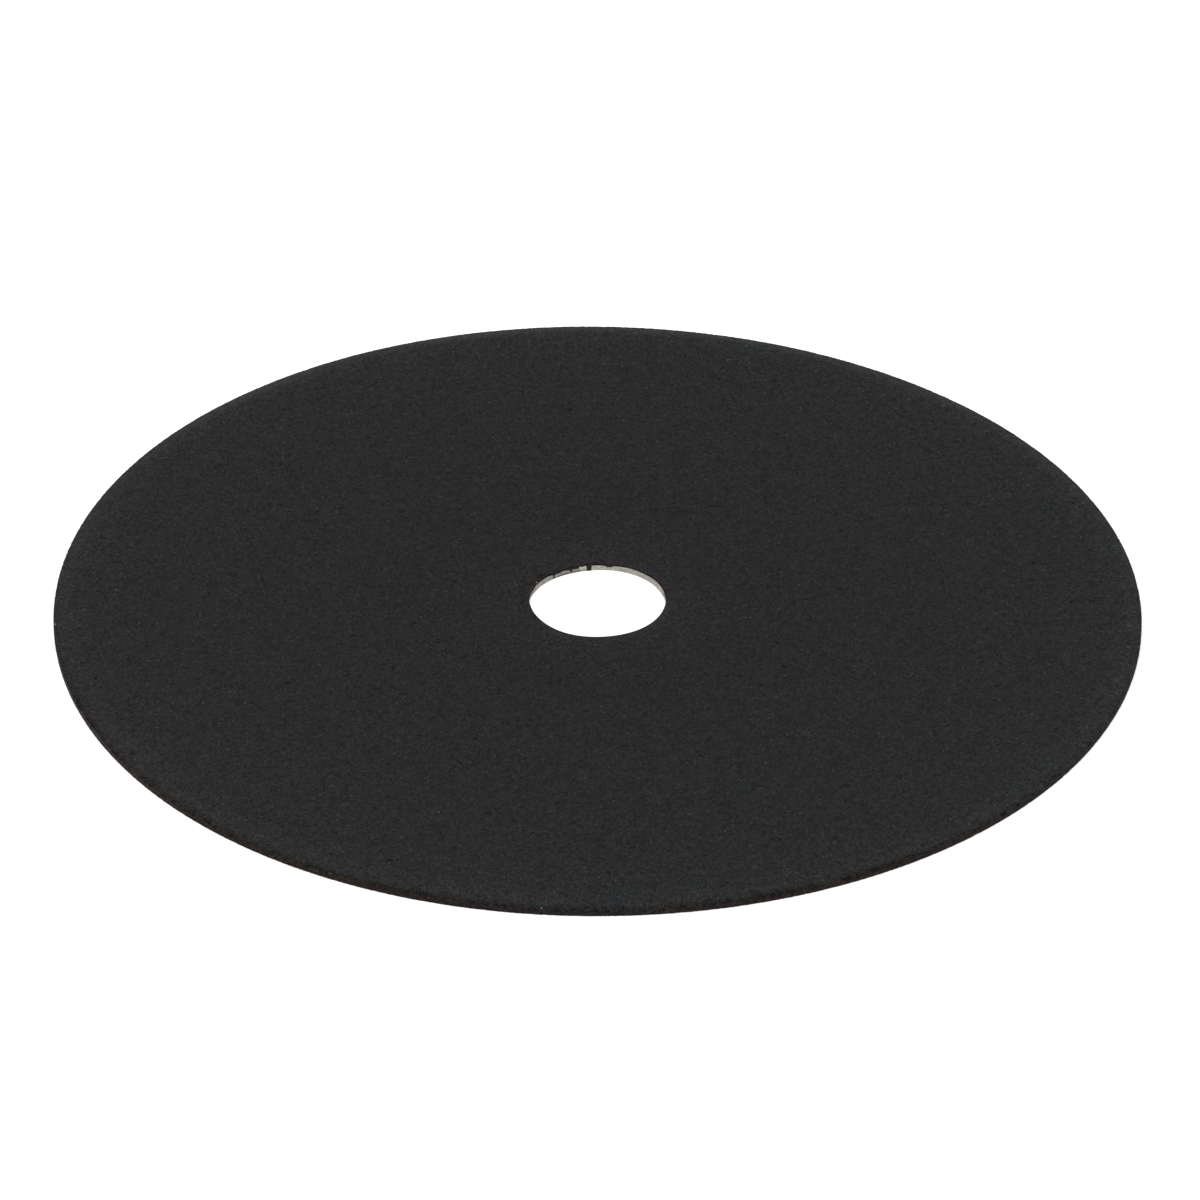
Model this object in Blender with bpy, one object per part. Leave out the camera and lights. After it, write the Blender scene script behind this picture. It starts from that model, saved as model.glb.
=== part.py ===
"""A thin cut off wheel: a disc of bonded abrasive moulded onto the strip ring that lines its arbor hole.

Lengths are in metres. +Z is the wheel's axis, and the wheel lies on z = 0 with its hole over the origin.
A turn is an angle in degrees, anticlockwise from +X as seen from above.
"""

from math import cos, pi, radians, sin

import bmesh
import bpy
from mathutils import Matrix, Vector

# The disc
WHEEL_DIAMETER = 0.254
WHEEL_THICKNESS = 0.0015875
RIM_ROUNDING = 0.00012
RIM_SEGMENTS = 3

# The arbor hole and the ring that lines it, rolled from flat strip and flush with the wheel's lower face
HOLE_DIAMETER = 0.0318
RING_WALL = 0.0003
LIP_HEIGHT = 0.00031  # the abrasive above the ring, which closes over the strip's upper edge
BOND_GAP = 0.00005

# The butt joint of the strip, which the abrasive fills flush with the hole
SPLIT_TURN = 97.7
SPLIT_WIDTH = 0.0011

# Nicks in the strip's upper edge, also filled: turn, width at the edge and share of the strip's height
NICKS = (
    (80.3, 0.0009, 0.40),
    (109.3, 0.0019, 0.32),
    (113.8, 0.0004, 0.62),
    (131.2, 0.0006, 0.80),
)
NICK_TAPER = 0.55  # width at the foot of a nick, as a share of its width at the strip's edge

FACETS = 240  # flats round every circle, shared so that concentric walls stay parallel
CUT_REACH = 0.001  # how far a cutter runs past what it cuts

ABRASIVE_COLOUR = (0.027, 0.028, 0.028, 1.0)
ABRASIVE_ROUGHNESS = 0.92
STRIP_COLOUR = (0.42, 0.40, 0.35, 1.0)
STRIP_ROUGHNESS = 0.55
STRIP_METALLIC = 0.6

WHEEL_RADIUS = WHEEL_DIAMETER / 2
HOLE_RADIUS = HOLE_DIAMETER / 2
RING_RADIUS = HOLE_RADIUS + RING_WALL
RING_HEIGHT = WHEEL_THICKNESS - LIP_HEIGHT


def clear_scene():
    """Removes whatever the scene holds."""
    for old in list(bpy.data.objects):
        bpy.data.objects.remove(old, do_unlink=True)


def material(name, colour, roughness, metallic):
    """A plain finish on a Principled shader."""
    made = bpy.data.materials.new(name)
    made.use_nodes = True
    shader = made.node_tree.nodes["Principled BSDF"]
    shader.inputs["Base Color"].default_value = colour
    shader.inputs["Roughness"].default_value = roughness
    shader.inputs["Metallic"].default_value = metallic
    made.diffuse_color = colour
    return made


def object_from(name, bm):
    """Puts a finished bmesh into the scene, shaded smooth between its sharp corners."""
    mesh = bpy.data.meshes.new(name)
    bm.to_mesh(mesh)
    bm.free()
    mesh.shade_smooth()
    mesh.set_sharp_from_angle(angle=radians(30))
    made = bpy.data.objects.new(name, mesh)
    bpy.context.scene.collection.objects.link(made)
    return made


def as_cutter(made):
    """Keeps a cutter out of the model."""
    made.hide_render = True
    made.display_type = "WIRE"
    return made


def cut(made, cutter):
    """Takes the cutter's shape out of an object."""
    boolean = made.modifiers.new(cutter.name, "BOOLEAN")
    boolean.operation = "DIFFERENCE"
    boolean.solver = "EXACT"
    boolean.object = cutter


def turned(name, section):
    """An object turned round Z from a closed section of (radius, height) points, anticlockwise."""
    bm = bmesh.new()
    corners = [bm.verts.new((radius, 0.0, height)) for radius, height in section]
    edges = [bm.edges.new(pair) for pair in zip(corners, corners[1:] + corners[:1])]
    bmesh.ops.spin(
        bm,
        geom=corners + edges,
        cent=(0.0, 0.0, 0.0),
        axis=(0.0, 0.0, 1.0),
        angle=2 * pi,
        steps=FACETS,
        use_merge=True,
    )
    bmesh.ops.recalc_face_normals(bm, faces=bm.faces)
    return object_from(name, bm)


def rounded_rim():
    """The rim's outline from the lower face to the upper one, with both corners rounded."""
    points = []
    for height, first in ((RIM_ROUNDING, -90.0), (WHEEL_THICKNESS - RIM_ROUNDING, 0.0)):
        for step in range(RIM_SEGMENTS + 1):
            lean = radians(first + 90.0 * step / RIM_SEGMENTS)
            radius = WHEEL_RADIUS - RIM_ROUNDING + RIM_ROUNDING * cos(lean)
            points.append((radius, height + RIM_ROUNDING * sin(lean)))
    return points


def block(name, turn, width, foot_width, foot):
    """A tapered block across the ring's wall, from a height of foot to past the ring's upper edge."""
    inner = HOLE_RADIUS - 2 * CUT_REACH
    outer = RING_RADIUS + 2 * CUT_REACH
    top = RING_HEIGHT + 2 * CUT_REACH
    bm = bmesh.new()
    bmesh.ops.create_cube(bm, size=1.0)
    for corner in bm.verts:
        wide = foot_width if corner.co.z < 0 else width
        corner.co = Vector(
            (
                inner if corner.co.x < 0 else outer,
                wide * corner.co.y,
                foot if corner.co.z < 0 else top,
            )
        )
    bmesh.ops.transform(bm, matrix=Matrix.Rotation(radians(turn), 4, "Z"), verts=bm.verts)
    return as_cutter(object_from(name, bm))


def interrupt(ring, clearance):
    """Cuts the butt joint and the nicks out of a ring, or out of the tool that makes its seat.

    The seat's tool is larger than the ring by the clearance, so what it leaves standing is smaller by it.
    """
    split_width = SPLIT_WIDTH - 2 * clearance
    cut(ring, block(f"{ring.name}_split", SPLIT_TURN, split_width, split_width, -2 * CUT_REACH))
    for number, (turn, width, share) in enumerate(NICKS, 1):
        foot = RING_HEIGHT * (1 - share) + clearance
        edge_width = width - 2 * clearance
        foot_width = width * NICK_TAPER - 2 * clearance
        # The block runs past the strip's edge, so its sides carry on at the same slope
        slope = (edge_width - foot_width) / (RING_HEIGHT + clearance - foot)
        top_width = foot_width + slope * (RING_HEIGHT + 2 * CUT_REACH - foot)
        cut(ring, block(f"{ring.name}_nick_{number}", turn, top_width, foot_width, foot))


def arbor_ring():
    """The ring of strip that a machine's arbor passes through."""
    ring = turned(
        "arbor_ring",
        (
            (HOLE_RADIUS, 0.0),
            (RING_RADIUS, 0.0),
            (RING_RADIUS, RING_HEIGHT),
            (HOLE_RADIUS, RING_HEIGHT),
        ),
    )
    interrupt(ring, 0.0)
    ring.data.materials.append(
        material("dull_strip", STRIP_COLOUR, STRIP_ROUGHNESS, STRIP_METALLIC)
    )
    return ring


def ring_seat():
    """The tool that opens the ring's seat: the ring, larger by the gap and running out into the hole."""
    inner = HOLE_RADIUS - CUT_REACH
    outer = RING_RADIUS + BOND_GAP
    top = RING_HEIGHT + BOND_GAP
    seat = turned(
        "ring_seat",
        ((inner, -CUT_REACH), (outer, -CUT_REACH), (outer, top), (inner, top)),
    )
    interrupt(seat, BOND_GAP)
    return as_cutter(seat)


def abrasive_disc():
    """The moulded wheel, with its lip over the ring and its abrasive in the ring's joint and nicks."""
    disc = turned(
        "abrasive_disc",
        [(HOLE_RADIUS, 0.0), *rounded_rim(), (HOLE_RADIUS, WHEEL_THICKNESS)],
    )
    cut(disc, ring_seat())
    disc.data.materials.append(
        material("black_abrasive", ABRASIVE_COLOUR, ABRASIVE_ROUGHNESS, 0.0)
    )
    return disc


clear_scene()
arbor_ring()
abrasive_disc()
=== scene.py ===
"""Dresses the cut off wheel: black abrasive with its grit, and the pale ring that lines its arbor hole.

Lengths are in metres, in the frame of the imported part, with +Z along the wheel's axis. A turn is an angle
in degrees, anticlockwise from +X as seen from above.
"""

import logging
import random
from dataclasses import dataclass, field
from enum import Enum
from math import atan2, cos, degrees, hypot, pi, radians, sin
from typing import Iterable

import bmesh
import bpy
from mathutils import Matrix, Vector, noise


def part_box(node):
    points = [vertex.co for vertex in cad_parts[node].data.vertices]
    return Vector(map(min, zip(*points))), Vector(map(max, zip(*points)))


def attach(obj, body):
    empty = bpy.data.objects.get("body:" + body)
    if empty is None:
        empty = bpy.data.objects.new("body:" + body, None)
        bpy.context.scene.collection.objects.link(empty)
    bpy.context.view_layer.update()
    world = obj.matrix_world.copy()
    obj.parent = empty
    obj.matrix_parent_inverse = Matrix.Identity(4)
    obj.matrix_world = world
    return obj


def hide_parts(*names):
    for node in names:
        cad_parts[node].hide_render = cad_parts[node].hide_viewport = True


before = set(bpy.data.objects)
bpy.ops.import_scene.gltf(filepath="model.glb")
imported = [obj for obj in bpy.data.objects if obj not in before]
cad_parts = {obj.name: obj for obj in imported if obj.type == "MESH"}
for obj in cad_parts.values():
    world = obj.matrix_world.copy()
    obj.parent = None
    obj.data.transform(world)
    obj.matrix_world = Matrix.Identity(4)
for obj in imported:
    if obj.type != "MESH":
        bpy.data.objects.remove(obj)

log = logging.getLogger("cut_off_wheel")

Colour = tuple[float, float, float, float]
Source = bpy.types.NodeSocket | float | tuple
Pair = tuple[float, float]
Triple = tuple[float, float, float]
Levels = tuple[Pair, ...]  # places in rising order, mostly turns, each with its level

BODY = "root"
DISC_NODE = "abrasive_disc"
RING_NODE = "arbor_ring"

# Values kept on the points of a mesh, for its material
TONE = "tone"  # how much lighter or darker a grain is than its neighbours, far lighter for the painted glints; on the strip, its painted highlight; on the bond, its lighter joint
PAINTED_LIGHT_AND_SMUDGE = "painted_light_and_smudge"  # painted shade in chips and along the hole's lip, painted light and shade by the rim, and smudges by the hole; under 0, painted light
TRUED = "trued"  # how much a spot shows the browner bond, as on the cut and trued rim
GRIME = "grime"  # how dirty the strip is, and how much darker towards its foot
BARE = "bare"  # how far the strip has lost its warm tint

# How the wheel's round edges depart from circles: waves round the edge, their size and the turn of a peak.
# The departures die out at the calm radius.
HOLE_WAVES = (
    (0, -0.00006, 0.0),
    (1, 0.00032, 76.5),
    (2, 0.00013, 33.4),
    (3, 0.00006, 50.1),
    (4, 0.00007, -22.9),
    (5, 0.00002, 24.2),
    (6, 0.00003, 5.5),
)
HOLE_CALM_RADIUS = 0.030
# Turn, width in degrees and size of the swellings and dents in the hole's edge
HOLE_CORNERS = (
    (178.0, 10.0, 0.00006),
    (168.0, 12.0, 0.00009),
    (112.0, 30.0, -0.00004),
    (21.0, 16.0, -0.00008),
)
# How far the hole's upper edge stands outside its foot, by turn
HOLE_LEAN = (
    (0.0, 0.00005),
    (6.0, 0.00010),
    (12.0, 0.00018),
    (20.0, 0.00026),
    (37.0, 0.00031),
    (45.0, 0.00018),
    (53.0, 0.00011),
    (61.0, 0.00021),
    (68.0, 0.0),
    (134.0, 0.0),
    (141.0, 0.00013),
    (153.0, 0.00012),
    (160.0, 0.0),
    (350.0, 0.0),
    (360.0, 0.00005),
)
RIM_WAVES = (
    (0, 0.00008, 0.0),
    (1, 0.00032, 154.0),
    (2, 0.00016, -74.1),
    (3, 0.00036, -8.2),
    (4, 0.00006, 42.5),
)
RIM_CALM_RADIUS = 0.105

# Turn, radius and tone of the lone light and dark grains in the upper face; the light ones are painted
# glints.
# The two at the smallest radius are the spur at the hole's edge.
LONE_GRAINS = (
    (178.2, 0.1128, 11.0),
    (271.3, 0.0451, 6.0),
    (192.1, 0.0835, 11.0),
    (248.3, 0.0952, 4.0),
    (68.1, 0.1097, 8.0),
    (32.9, 0.1014, 10.0),
    (209.0, 0.0920, 4.0),
    (264.6, 0.1264, 14.0),
    (185.1, 0.1266, 9.0),
    (150.5, 0.01632, 14.0),
    (150.9, 0.01618, 17.0),
    (108.8, 0.1007, -1.0),
    (272.2, 0.1130, -1.0),
)


def polar(radius: float, turn: float, height: float) -> Vector:
    """Places a point by its radius, turn and height.

    Args:
        radius: Distance from the wheel's axis.
        turn: Angle in degrees.
        height: Distance above the lower face.

    Returns:
        The point.
    """
    return Vector((radius * cos(radians(turn)), radius * sin(radians(turn)), height))


def turn_of(point: Vector) -> float:
    """Returns a point's turn, from 0 up to 360 degrees."""
    return degrees(atan2(point.y, point.x)) % 360.0


def radius_of(point: Vector) -> float:
    """Returns a point's distance from the wheel's axis."""
    return hypot(point.x, point.y)


def smooth_step(low: float, high: float, value: float) -> float:
    """Rises smoothly from 0 at one value to 1 at another.

    Args:
        low: Where the step begins.
        high: Where it ends.
        value: The value looked up.

    Returns:
        A share from 0 to 1.
    """
    share = min(1.0, max(0.0, (value - low) / (high - low)))
    return share * share * (3.0 - 2.0 * share)


def between(points: Levels, value: float) -> float:
    """Reads an outline that is straight between its points.

    Args:
        points: Places and levels, in rising order of place.
        value: The place looked up.

    Returns:
        The level there, or that of the nearest end.
    """
    if value <= points[0][0]:
        return points[0][1]
    for (low, first), (high, second) in zip(points, points[1:]):
        if value <= high:
            return first + (second - first) * (value - low) / (high - low)
    return points[-1][1]


@dataclass(frozen=True)
class Outline:
    """A round edge that moulding has left slightly out of true."""

    radius: float
    calm_radius: float
    height: float
    waves: tuple[tuple[int, float, float], ...]
    corners: tuple[Triple, ...] = ()
    lean: Levels = ((0.0, 0.0),)

    def departure(self, turn: float) -> float:
        """Returns how far the edge lies outside its circle at a turn."""
        total = sum(size * cos(radians(count * (turn - peak))) for count, size, peak in self.waves)
        for middle, width, size in self.corners:
            away = abs((turn - middle + 180.0) % 360.0 - 180.0)
            total += size * (1.0 - smooth_step(0.0, width, away))
        return total

    def settle(self, verts: Iterable[bmesh.types.BMVert]) -> None:
        """Presses the edge's departures into points, fully at the edge and not at all at the calm radius.

        Args:
            verts: Points modelled round a true circle.
        """
        for vert in verts:
            radius = radius_of(vert.co)
            share = smooth_step(self.calm_radius, self.radius, radius)
            if share > 0.0:
                turn = turn_of(vert.co)
                leaning = between(self.lean, turn) * vert.co.z / self.height
                stretch = 1.0 + share * (self.departure(turn) + leaning) / radius
                vert.co.x *= stretch
                vert.co.y *= stretch


@dataclass(frozen=True)
class WheelShape:
    """The two round edges of the wheel, which every piece of it is settled to."""

    hole: Outline
    rim: Outline

    def settle(self, verts: Iterable[bmesh.types.BMVert]) -> None:
        """Settles points to both edges.

        Args:
            verts: Points modelled round true circles.
        """
        listed = list(verts)
        self.hole.settle(listed)
        self.rim.settle(listed)


class Graph:
    """The nodes of one material, added and joined a step at a time."""

    def __init__(self, name: str) -> None:
        """Makes an empty material on a Principled shader.

        Args:
            name: The material's name.
        """
        self.material = bpy.data.materials.new(name)
        self.material.use_nodes = True
        self.nodes = self.material.node_tree.nodes
        self.links = self.material.node_tree.links
        self.shader = self.nodes["Principled BSDF"]
        self.output = self.nodes["Material Output"]

    def feed(self, socket: bpy.types.NodeSocket, source: Source) -> None:
        """Joins a socket to another node's output, or sets it to a plain value.

        Args:
            socket: The input to feed.
            source: An output socket, a number or a colour.
        """
        if isinstance(source, bpy.types.NodeSocket):
            self.links.new(source, socket)
        else:
            socket.default_value = source

    def place(self) -> bpy.types.NodeSocket:
        """Returns the place on the object, in metres."""
        return self.nodes.new("ShaderNodeTexCoord").outputs["Object"]

    def along(self) -> bpy.types.NodeSocket:
        """Returns the place along and up the surface, from the piece's own UV map."""
        return self.nodes.new("ShaderNodeUVMap").outputs["UV"]

    def attribute(self, name: str) -> bpy.types.NodeSocket:
        """Returns a value kept on the mesh's points."""
        node = self.nodes.new("ShaderNodeAttribute")
        node.attribute_name = name
        return node.outputs["Fac"]

    def math(self, operation: str, first: Source, second: Source = 0.0) -> bpy.types.NodeSocket:
        """Adds a step of arithmetic.

        Args:
            operation: Blender's name of the operation.
            first: Its first value.
            second: Its second value.

        Returns:
            The result.
        """
        node = self.nodes.new("ShaderNodeMath")
        node.operation = operation
        self.feed(node.inputs[0], first)
        self.feed(node.inputs[1], second)
        return node.outputs[0]

    def turned(self, vector: Source, angle: float) -> bpy.types.NodeSocket:
        """Turns a pattern in its own plane.

        Args:
            vector: The place it is read at.
            angle: How far it turns, in degrees.

        Returns:
            The turned place.
        """
        node = self.nodes.new("ShaderNodeMapping")
        node.inputs["Rotation"].default_value = (0.0, 0.0, radians(angle))
        self.feed(node.inputs["Vector"], vector)
        return node.outputs[0]

    def scaled(self, vector: Source, factors: Triple) -> bpy.types.NodeSocket:
        """Multiplies a vector's three parts.

        Args:
            vector: The vector.
            factors: One factor for each part.

        Returns:
            The scaled vector.
        """
        node = self.nodes.new("ShaderNodeVectorMath")
        node.operation = "MULTIPLY"
        self.feed(node.inputs[0], vector)
        self.feed(node.inputs[1], factors)
        return node.outputs[0]

    def off_axis(self, vector: Source) -> bpy.types.NodeSocket:
        """Returns the distance of a place from the wheel's axis."""
        node = self.nodes.new("ShaderNodeVectorMath")
        node.operation = "LENGTH"
        self.feed(node.inputs[0], self.scaled(vector, (1.0, 1.0, 0.0)))
        return node.outputs["Value"]

    def spread(self, value: Source, source: Pair, target: Pair = (0.0, 1.0)) -> bpy.types.NodeSocket:
        """Maps one range of values onto another and holds its ends.

        Args:
            value: The value to map.
            source: The range that it comes in.
            target: The range that it goes to.

        Returns:
            The mapped value.
        """
        node = self.nodes.new("ShaderNodeMapRange")
        for socket, entry in zip(node.inputs, (value, *source, *target)):
            self.feed(socket, entry)
        return node.outputs[0]

    def mix(self, share: Source, first: Source, second: Source) -> bpy.types.NodeSocket:
        """Blends two colours.

        Args:
            share: How much of the second shows.
            first: The first colour.
            second: The second colour.

        Returns:
            The blended colour.
        """
        return self._mixed("MIX", share, first, second)

    def shade(self, colour: Source, level: Source) -> bpy.types.NodeSocket:
        """Multiplies a colour by a brightness.

        Args:
            colour: The colour.
            level: The brightness, 1 to leave it as it is.

        Returns:
            The shaded colour.
        """
        return self._mixed("MULTIPLY", 1.0, colour, level)

    def _mixed(self, blend: str, share: Source, first: Source, second: Source) -> bpy.types.NodeSocket:
        """Adds a colour mix.

        Args:
            blend: Blender's name of the blend.
            share: How much of the second shows.
            first: The first colour.
            second: The second colour.

        Returns:
            The resulting colour.
        """
        node = self.nodes.new("ShaderNodeMix")
        node.data_type = "RGBA"
        node.blend_type = blend
        colours = [socket for socket in node.inputs if socket.type == "RGBA"]
        self.feed(node.inputs[0], share)
        self.feed(colours[0], first)
        self.feed(colours[1], second)
        return next(socket for socket in node.outputs if socket.type == "RGBA")

    def ramp(self, value: Source, stops: Iterable[Pair]) -> bpy.types.NodeSocket:
        """Reads a brightness off a smooth curve.

        Args:
            value: Where on the curve, from 0 to 1.
            stops: Places and levels along it, each from 0 to 1.

        Returns:
            The level.
        """
        node = self.nodes.new("ShaderNodeValToRGB")
        node.color_ramp.interpolation = "EASE"
        elements = node.color_ramp.elements
        for number, (position, level) in enumerate(stops):
            if number >= len(elements):
                elements.new(position)
            elements[number].position = position
            elements[number].color = (level, level, level, 1.0)
        self.feed(node.inputs[0], value)
        return node.outputs[0]

    def clouds(self, vector: Source, size: float, detail: float = 2.0) -> bpy.types.NodeSocket:
        """Adds soft noise.

        Args:
            vector: The place it is read at.
            size: About how wide its patches are.
            detail: How many finer layers it has.

        Returns:
            The noise, mostly from 0.3 to 0.7.
        """
        node = self.nodes.new("ShaderNodeTexNoise")
        self.feed(node.inputs["Vector"], vector)
        self.feed(node.inputs["Scale"], 1.0 / size)
        self.feed(node.inputs["Detail"], detail)
        return node.outputs[0]

    def cells(self, vector: Source, size: float) -> tuple[bpy.types.NodeSocket, bpy.types.NodeSocket]:
        """Adds packed cells, as of grains.

        Args:
            vector: The place they are read at.
            size: About how wide a cell is.

        Returns:
            A random value for each cell, and the distance from its middle in cells.
        """
        node = self.nodes.new("ShaderNodeTexVoronoi")
        self.feed(node.inputs["Vector"], vector)
        self.feed(node.inputs["Scale"], 1.0 / size)
        split = self.nodes.new("ShaderNodeSeparateColor")
        self.feed(split.inputs[0], node.outputs["Color"])
        return split.outputs[0], node.outputs["Distance"]

    def relief(self, height: Source, depth: float, strength: float) -> None:
        """Roughens the shader's normal.

        Args:
            height: The relief, from 0 to 1.
            depth: How deep it is from 0 to 1.
            strength: How much of it shows.
        """
        node = self.nodes.new("ShaderNodeBump")
        self.feed(node.inputs["Strength"], strength)
        self.feed(node.inputs["Distance"], depth)
        self.feed(node.inputs["Height"], height)
        self.feed(self.shader.inputs["Normal"], node.outputs[0])


@dataclass(frozen=True)
class AbrasiveFinish:
    """Black grain in a cured bond: sharp cells of differing grey with painted glints and painted pit shade,
    faint broad tints and a browner rim.
    """

    name: str = "black_abrasive"
    cool: Colour = (0.0176, 0.0184, 0.0193, 1.0)
    warm: Colour = (0.0187, 0.0183, 0.0178, 1.0)
    trued: Colour = (0.0232, 0.0160, 0.0136, 1.0)
    grain_size: float = 0.00036
    grain_stretch: Triple = (1.0, 0.70, 1.0)
    grain_steps: float = 0.7
    clump_size: float = 0.0009
    tint_size: float = 0.010
    tint_range: Pair = (0.38, 0.62)
    patch_size: float = 0.016
    patch_range: Pair = (0.3, 0.6)
    patch_levels: Pair = (0.7, 1.0)
    grain_contrast: float = 0.92
    clump_contrast: float = 0.38
    painted_glint_share: float = 0.012
    painted_glint_level: float = 0.9
    pit_shade_share: float = 0.006
    pit_shade_level: float = -0.35
    painted_light_weight: float = -0.55
    darkest: float = 0.15
    # Shares of the rim's radius, and how light the face is there
    radial_levels: Levels = (
        (0.12, 1.05),
        (0.28, 0.93),
        (0.60, 0.97),
        (0.80, 1.015),
        (0.92, 1.08),
        (0.99, 1.29),
    )
    radial_top: float = 1.3
    rim_radius: float = 0.127
    roughness: float = 0.94
    specular: float = 0.12
    relief_depth: float = 0.00007
    relief_strength: float = 0.55

    def material(self) -> bpy.types.Material:
        """Returns the finish as a node material."""
        graph = Graph(self.name)
        place = graph.place()
        grain, edge = graph.cells(graph.scaled(place, self.grain_stretch), self.grain_size)
        clump, _ = graph.cells(place, self.clump_size)
        out = graph.off_axis(place)

        level = self._lift(graph, grain, self.grain_contrast)
        level = graph.math("ADD", level, self._lift(graph, clump, self.clump_contrast))
        # Painted glints on the few lightest grain cells
        level = graph.math("ADD", level, self._rare(graph, grain, 1.0 - self.painted_glint_share, self.painted_glint_level))
        # Painted shade of small pits in the rarest clump cells
        pit_shade = graph.math("LESS_THAN", clump, self.pit_shade_share)
        level = graph.math("ADD", level, graph.math("MULTIPLY", pit_shade, self.pit_shade_level))
        level = graph.math("ADD", level, graph.attribute(TONE))
        # Darkens by the painted shade and smudges kept on the points, and lightens by their painted light
        level = graph.math("ADD", level, graph.math("MULTIPLY", graph.attribute(PAINTED_LIGHT_AND_SMUDGE), self.painted_light_weight))
        level = graph.math("MAXIMUM", graph.math("ADD", level, 1.0), self.darkest)
        level = graph.math("MULTIPLY", level, self._radial(graph, out))

        tint = graph.spread(graph.clouds(place, self.tint_size), self.tint_range)
        colour = graph.mix(tint, self.cool, self.warm)
        patch = graph.spread(graph.clouds(place, self.patch_size), self.patch_range, self.patch_levels)
        colour = graph.mix(graph.math("MULTIPLY", graph.attribute(TRUED), patch), colour, self.trued)
        graph.feed(graph.shader.inputs["Base Color"], graph.shade(colour, level))

        graph.shader.inputs["Roughness"].default_value = self.roughness
        graph.shader.inputs["Specular IOR Level"].default_value = self.specular
        height = graph.math("SUBTRACT", graph.math("MULTIPLY", grain, self.grain_steps), edge)
        graph.relief(height, self.relief_depth, self.relief_strength)
        return graph.material

    @staticmethod
    def _lift(graph: Graph, value: Source, contrast: float) -> bpy.types.NodeSocket:
        """Returns a random value centred on 0, with a given spread."""
        return graph.math("MULTIPLY", graph.math("SUBTRACT", value, 0.5), contrast)

    @staticmethod
    def _rare(graph: Graph, value: Source, limit: float, level: float) -> bpy.types.NodeSocket:
        """Returns a level for the few cells whose random value is over a limit."""
        return graph.math("MULTIPLY", graph.math("GREATER_THAN", value, limit), level)

    def _radial(self, graph: Graph, out: Source) -> bpy.types.NodeSocket:
        """Returns the brightness that changes slowly from the hole to the rim."""
        stops = [(place, level / self.radial_top) for place, level in self.radial_levels]
        read = graph.ramp(graph.math("DIVIDE", out, self.rim_radius), stops)
        return graph.math("MULTIPLY", read, self.radial_top)


@dataclass(frozen=True)
class StripFinish:
    """Dull strip metal, drawn in fine streaks along its length, greyed where it is dirty and towards its
    foot, and lightened by a painted highlight.
    """

    name: str = "dull_strip"
    clean: Colour = (0.470, 0.450, 0.398, 1.0)
    streaked: Colour = (0.270, 0.256, 0.228, 1.0)
    bare: Colour = (0.365, 0.362, 0.352, 1.0)
    dirty: Colour = (0.058, 0.055, 0.052, 1.0)
    streak_length: float = 0.0030
    streak_height: float = 0.00018
    streak_range: Pair = (0.42, 0.58)
    hatch_length: float = 0.0014
    hatch_height: float = 0.00026
    hatch_angle: float = 38.0
    blotch_size: float = 0.0011
    blotch_range: Pair = (0.3, 0.65)
    blotch_levels: Pair = (0.2, 1.8)
    bare_share: float = 0.8
    detail: float = 3.0
    rough_range: Pair = (0.3, 0.7)
    rough_levels: Pair = (0.4, 0.62)
    metallic: float = 0.4
    relief_depth: float = 0.00001
    relief_strength: float = 0.35

    def material(self) -> bpy.types.Material:
        """Returns the finish as a node material."""
        graph = Graph(self.name)
        along = graph.along()
        stretched = graph.scaled(along, (1.0 / self.streak_length, 1.0 / self.streak_height, 1.0))
        slanted = graph.turned(along, self.hatch_angle)
        slanted = graph.scaled(slanted, (1.0 / self.hatch_length, 1.0 / self.hatch_height, 1.0))
        streak = graph.math("ADD", graph.clouds(stretched, 1.0, self.detail), graph.clouds(slanted, 1.0))
        streak = graph.math("MULTIPLY", streak, 0.5)
        blotch = graph.clouds(graph.place(), self.blotch_size, self.detail)
        colour = graph.mix(graph.spread(streak, self.streak_range), self.clean, self.streaked)
        bare = graph.math("MULTIPLY", graph.attribute(BARE), self.bare_share)
        colour = graph.mix(bare, colour, self.bare)
        blotch = graph.spread(blotch, self.blotch_range, self.blotch_levels)
        spotted = graph.math("MULTIPLY", blotch, graph.attribute(GRIME))
        colour = graph.mix(graph.math("MINIMUM", spotted, 1.0), colour, self.dirty)
        # The painted highlight kept on the points lightens it
        level = graph.math("ADD", graph.attribute(TONE), 1.0)
        graph.feed(graph.shader.inputs["Base Color"], graph.shade(colour, level))
        rough = graph.spread(streak, self.rough_range, self.rough_levels)
        graph.feed(graph.shader.inputs["Roughness"], rough)
        graph.shader.inputs["Metallic"].default_value = self.metallic
        graph.relief(streak, self.relief_depth, self.relief_strength)
        return graph.material


@dataclass(frozen=True)
class BondFinish:
    """Plain cured bond with little grain in it, as it squeezed over the ring."""

    name: str = "cured_bond"
    colour: Colour = (0.011, 0.0093, 0.0086, 1.0)
    patchy: Colour = (0.026, 0.0208, 0.0196, 1.0)
    patch_size: float = 0.0005
    patch_range: Pair = (0.4, 0.65)
    patch_detail: float = 3.0
    roughness: float = 0.8
    specular: float = 0.15
    relief_depth: float = 0.00003
    relief_strength: float = 0.5

    def material(self) -> bpy.types.Material:
        """Returns the finish as a node material."""
        graph = Graph(self.name)
        patch = graph.clouds(graph.place(), self.patch_size, self.patch_detail)
        colour = graph.mix(graph.spread(patch, self.patch_range), self.colour, self.patchy)
        level = graph.math("ADD", graph.attribute(TONE), 1.0)
        graph.feed(graph.shader.inputs["Base Color"], graph.shade(colour, level))
        graph.shader.inputs["Roughness"].default_value = self.roughness
        graph.shader.inputs["Specular IOR Level"].default_value = self.specular
        graph.relief(patch, self.relief_depth, self.relief_strength)
        return graph.material


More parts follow.
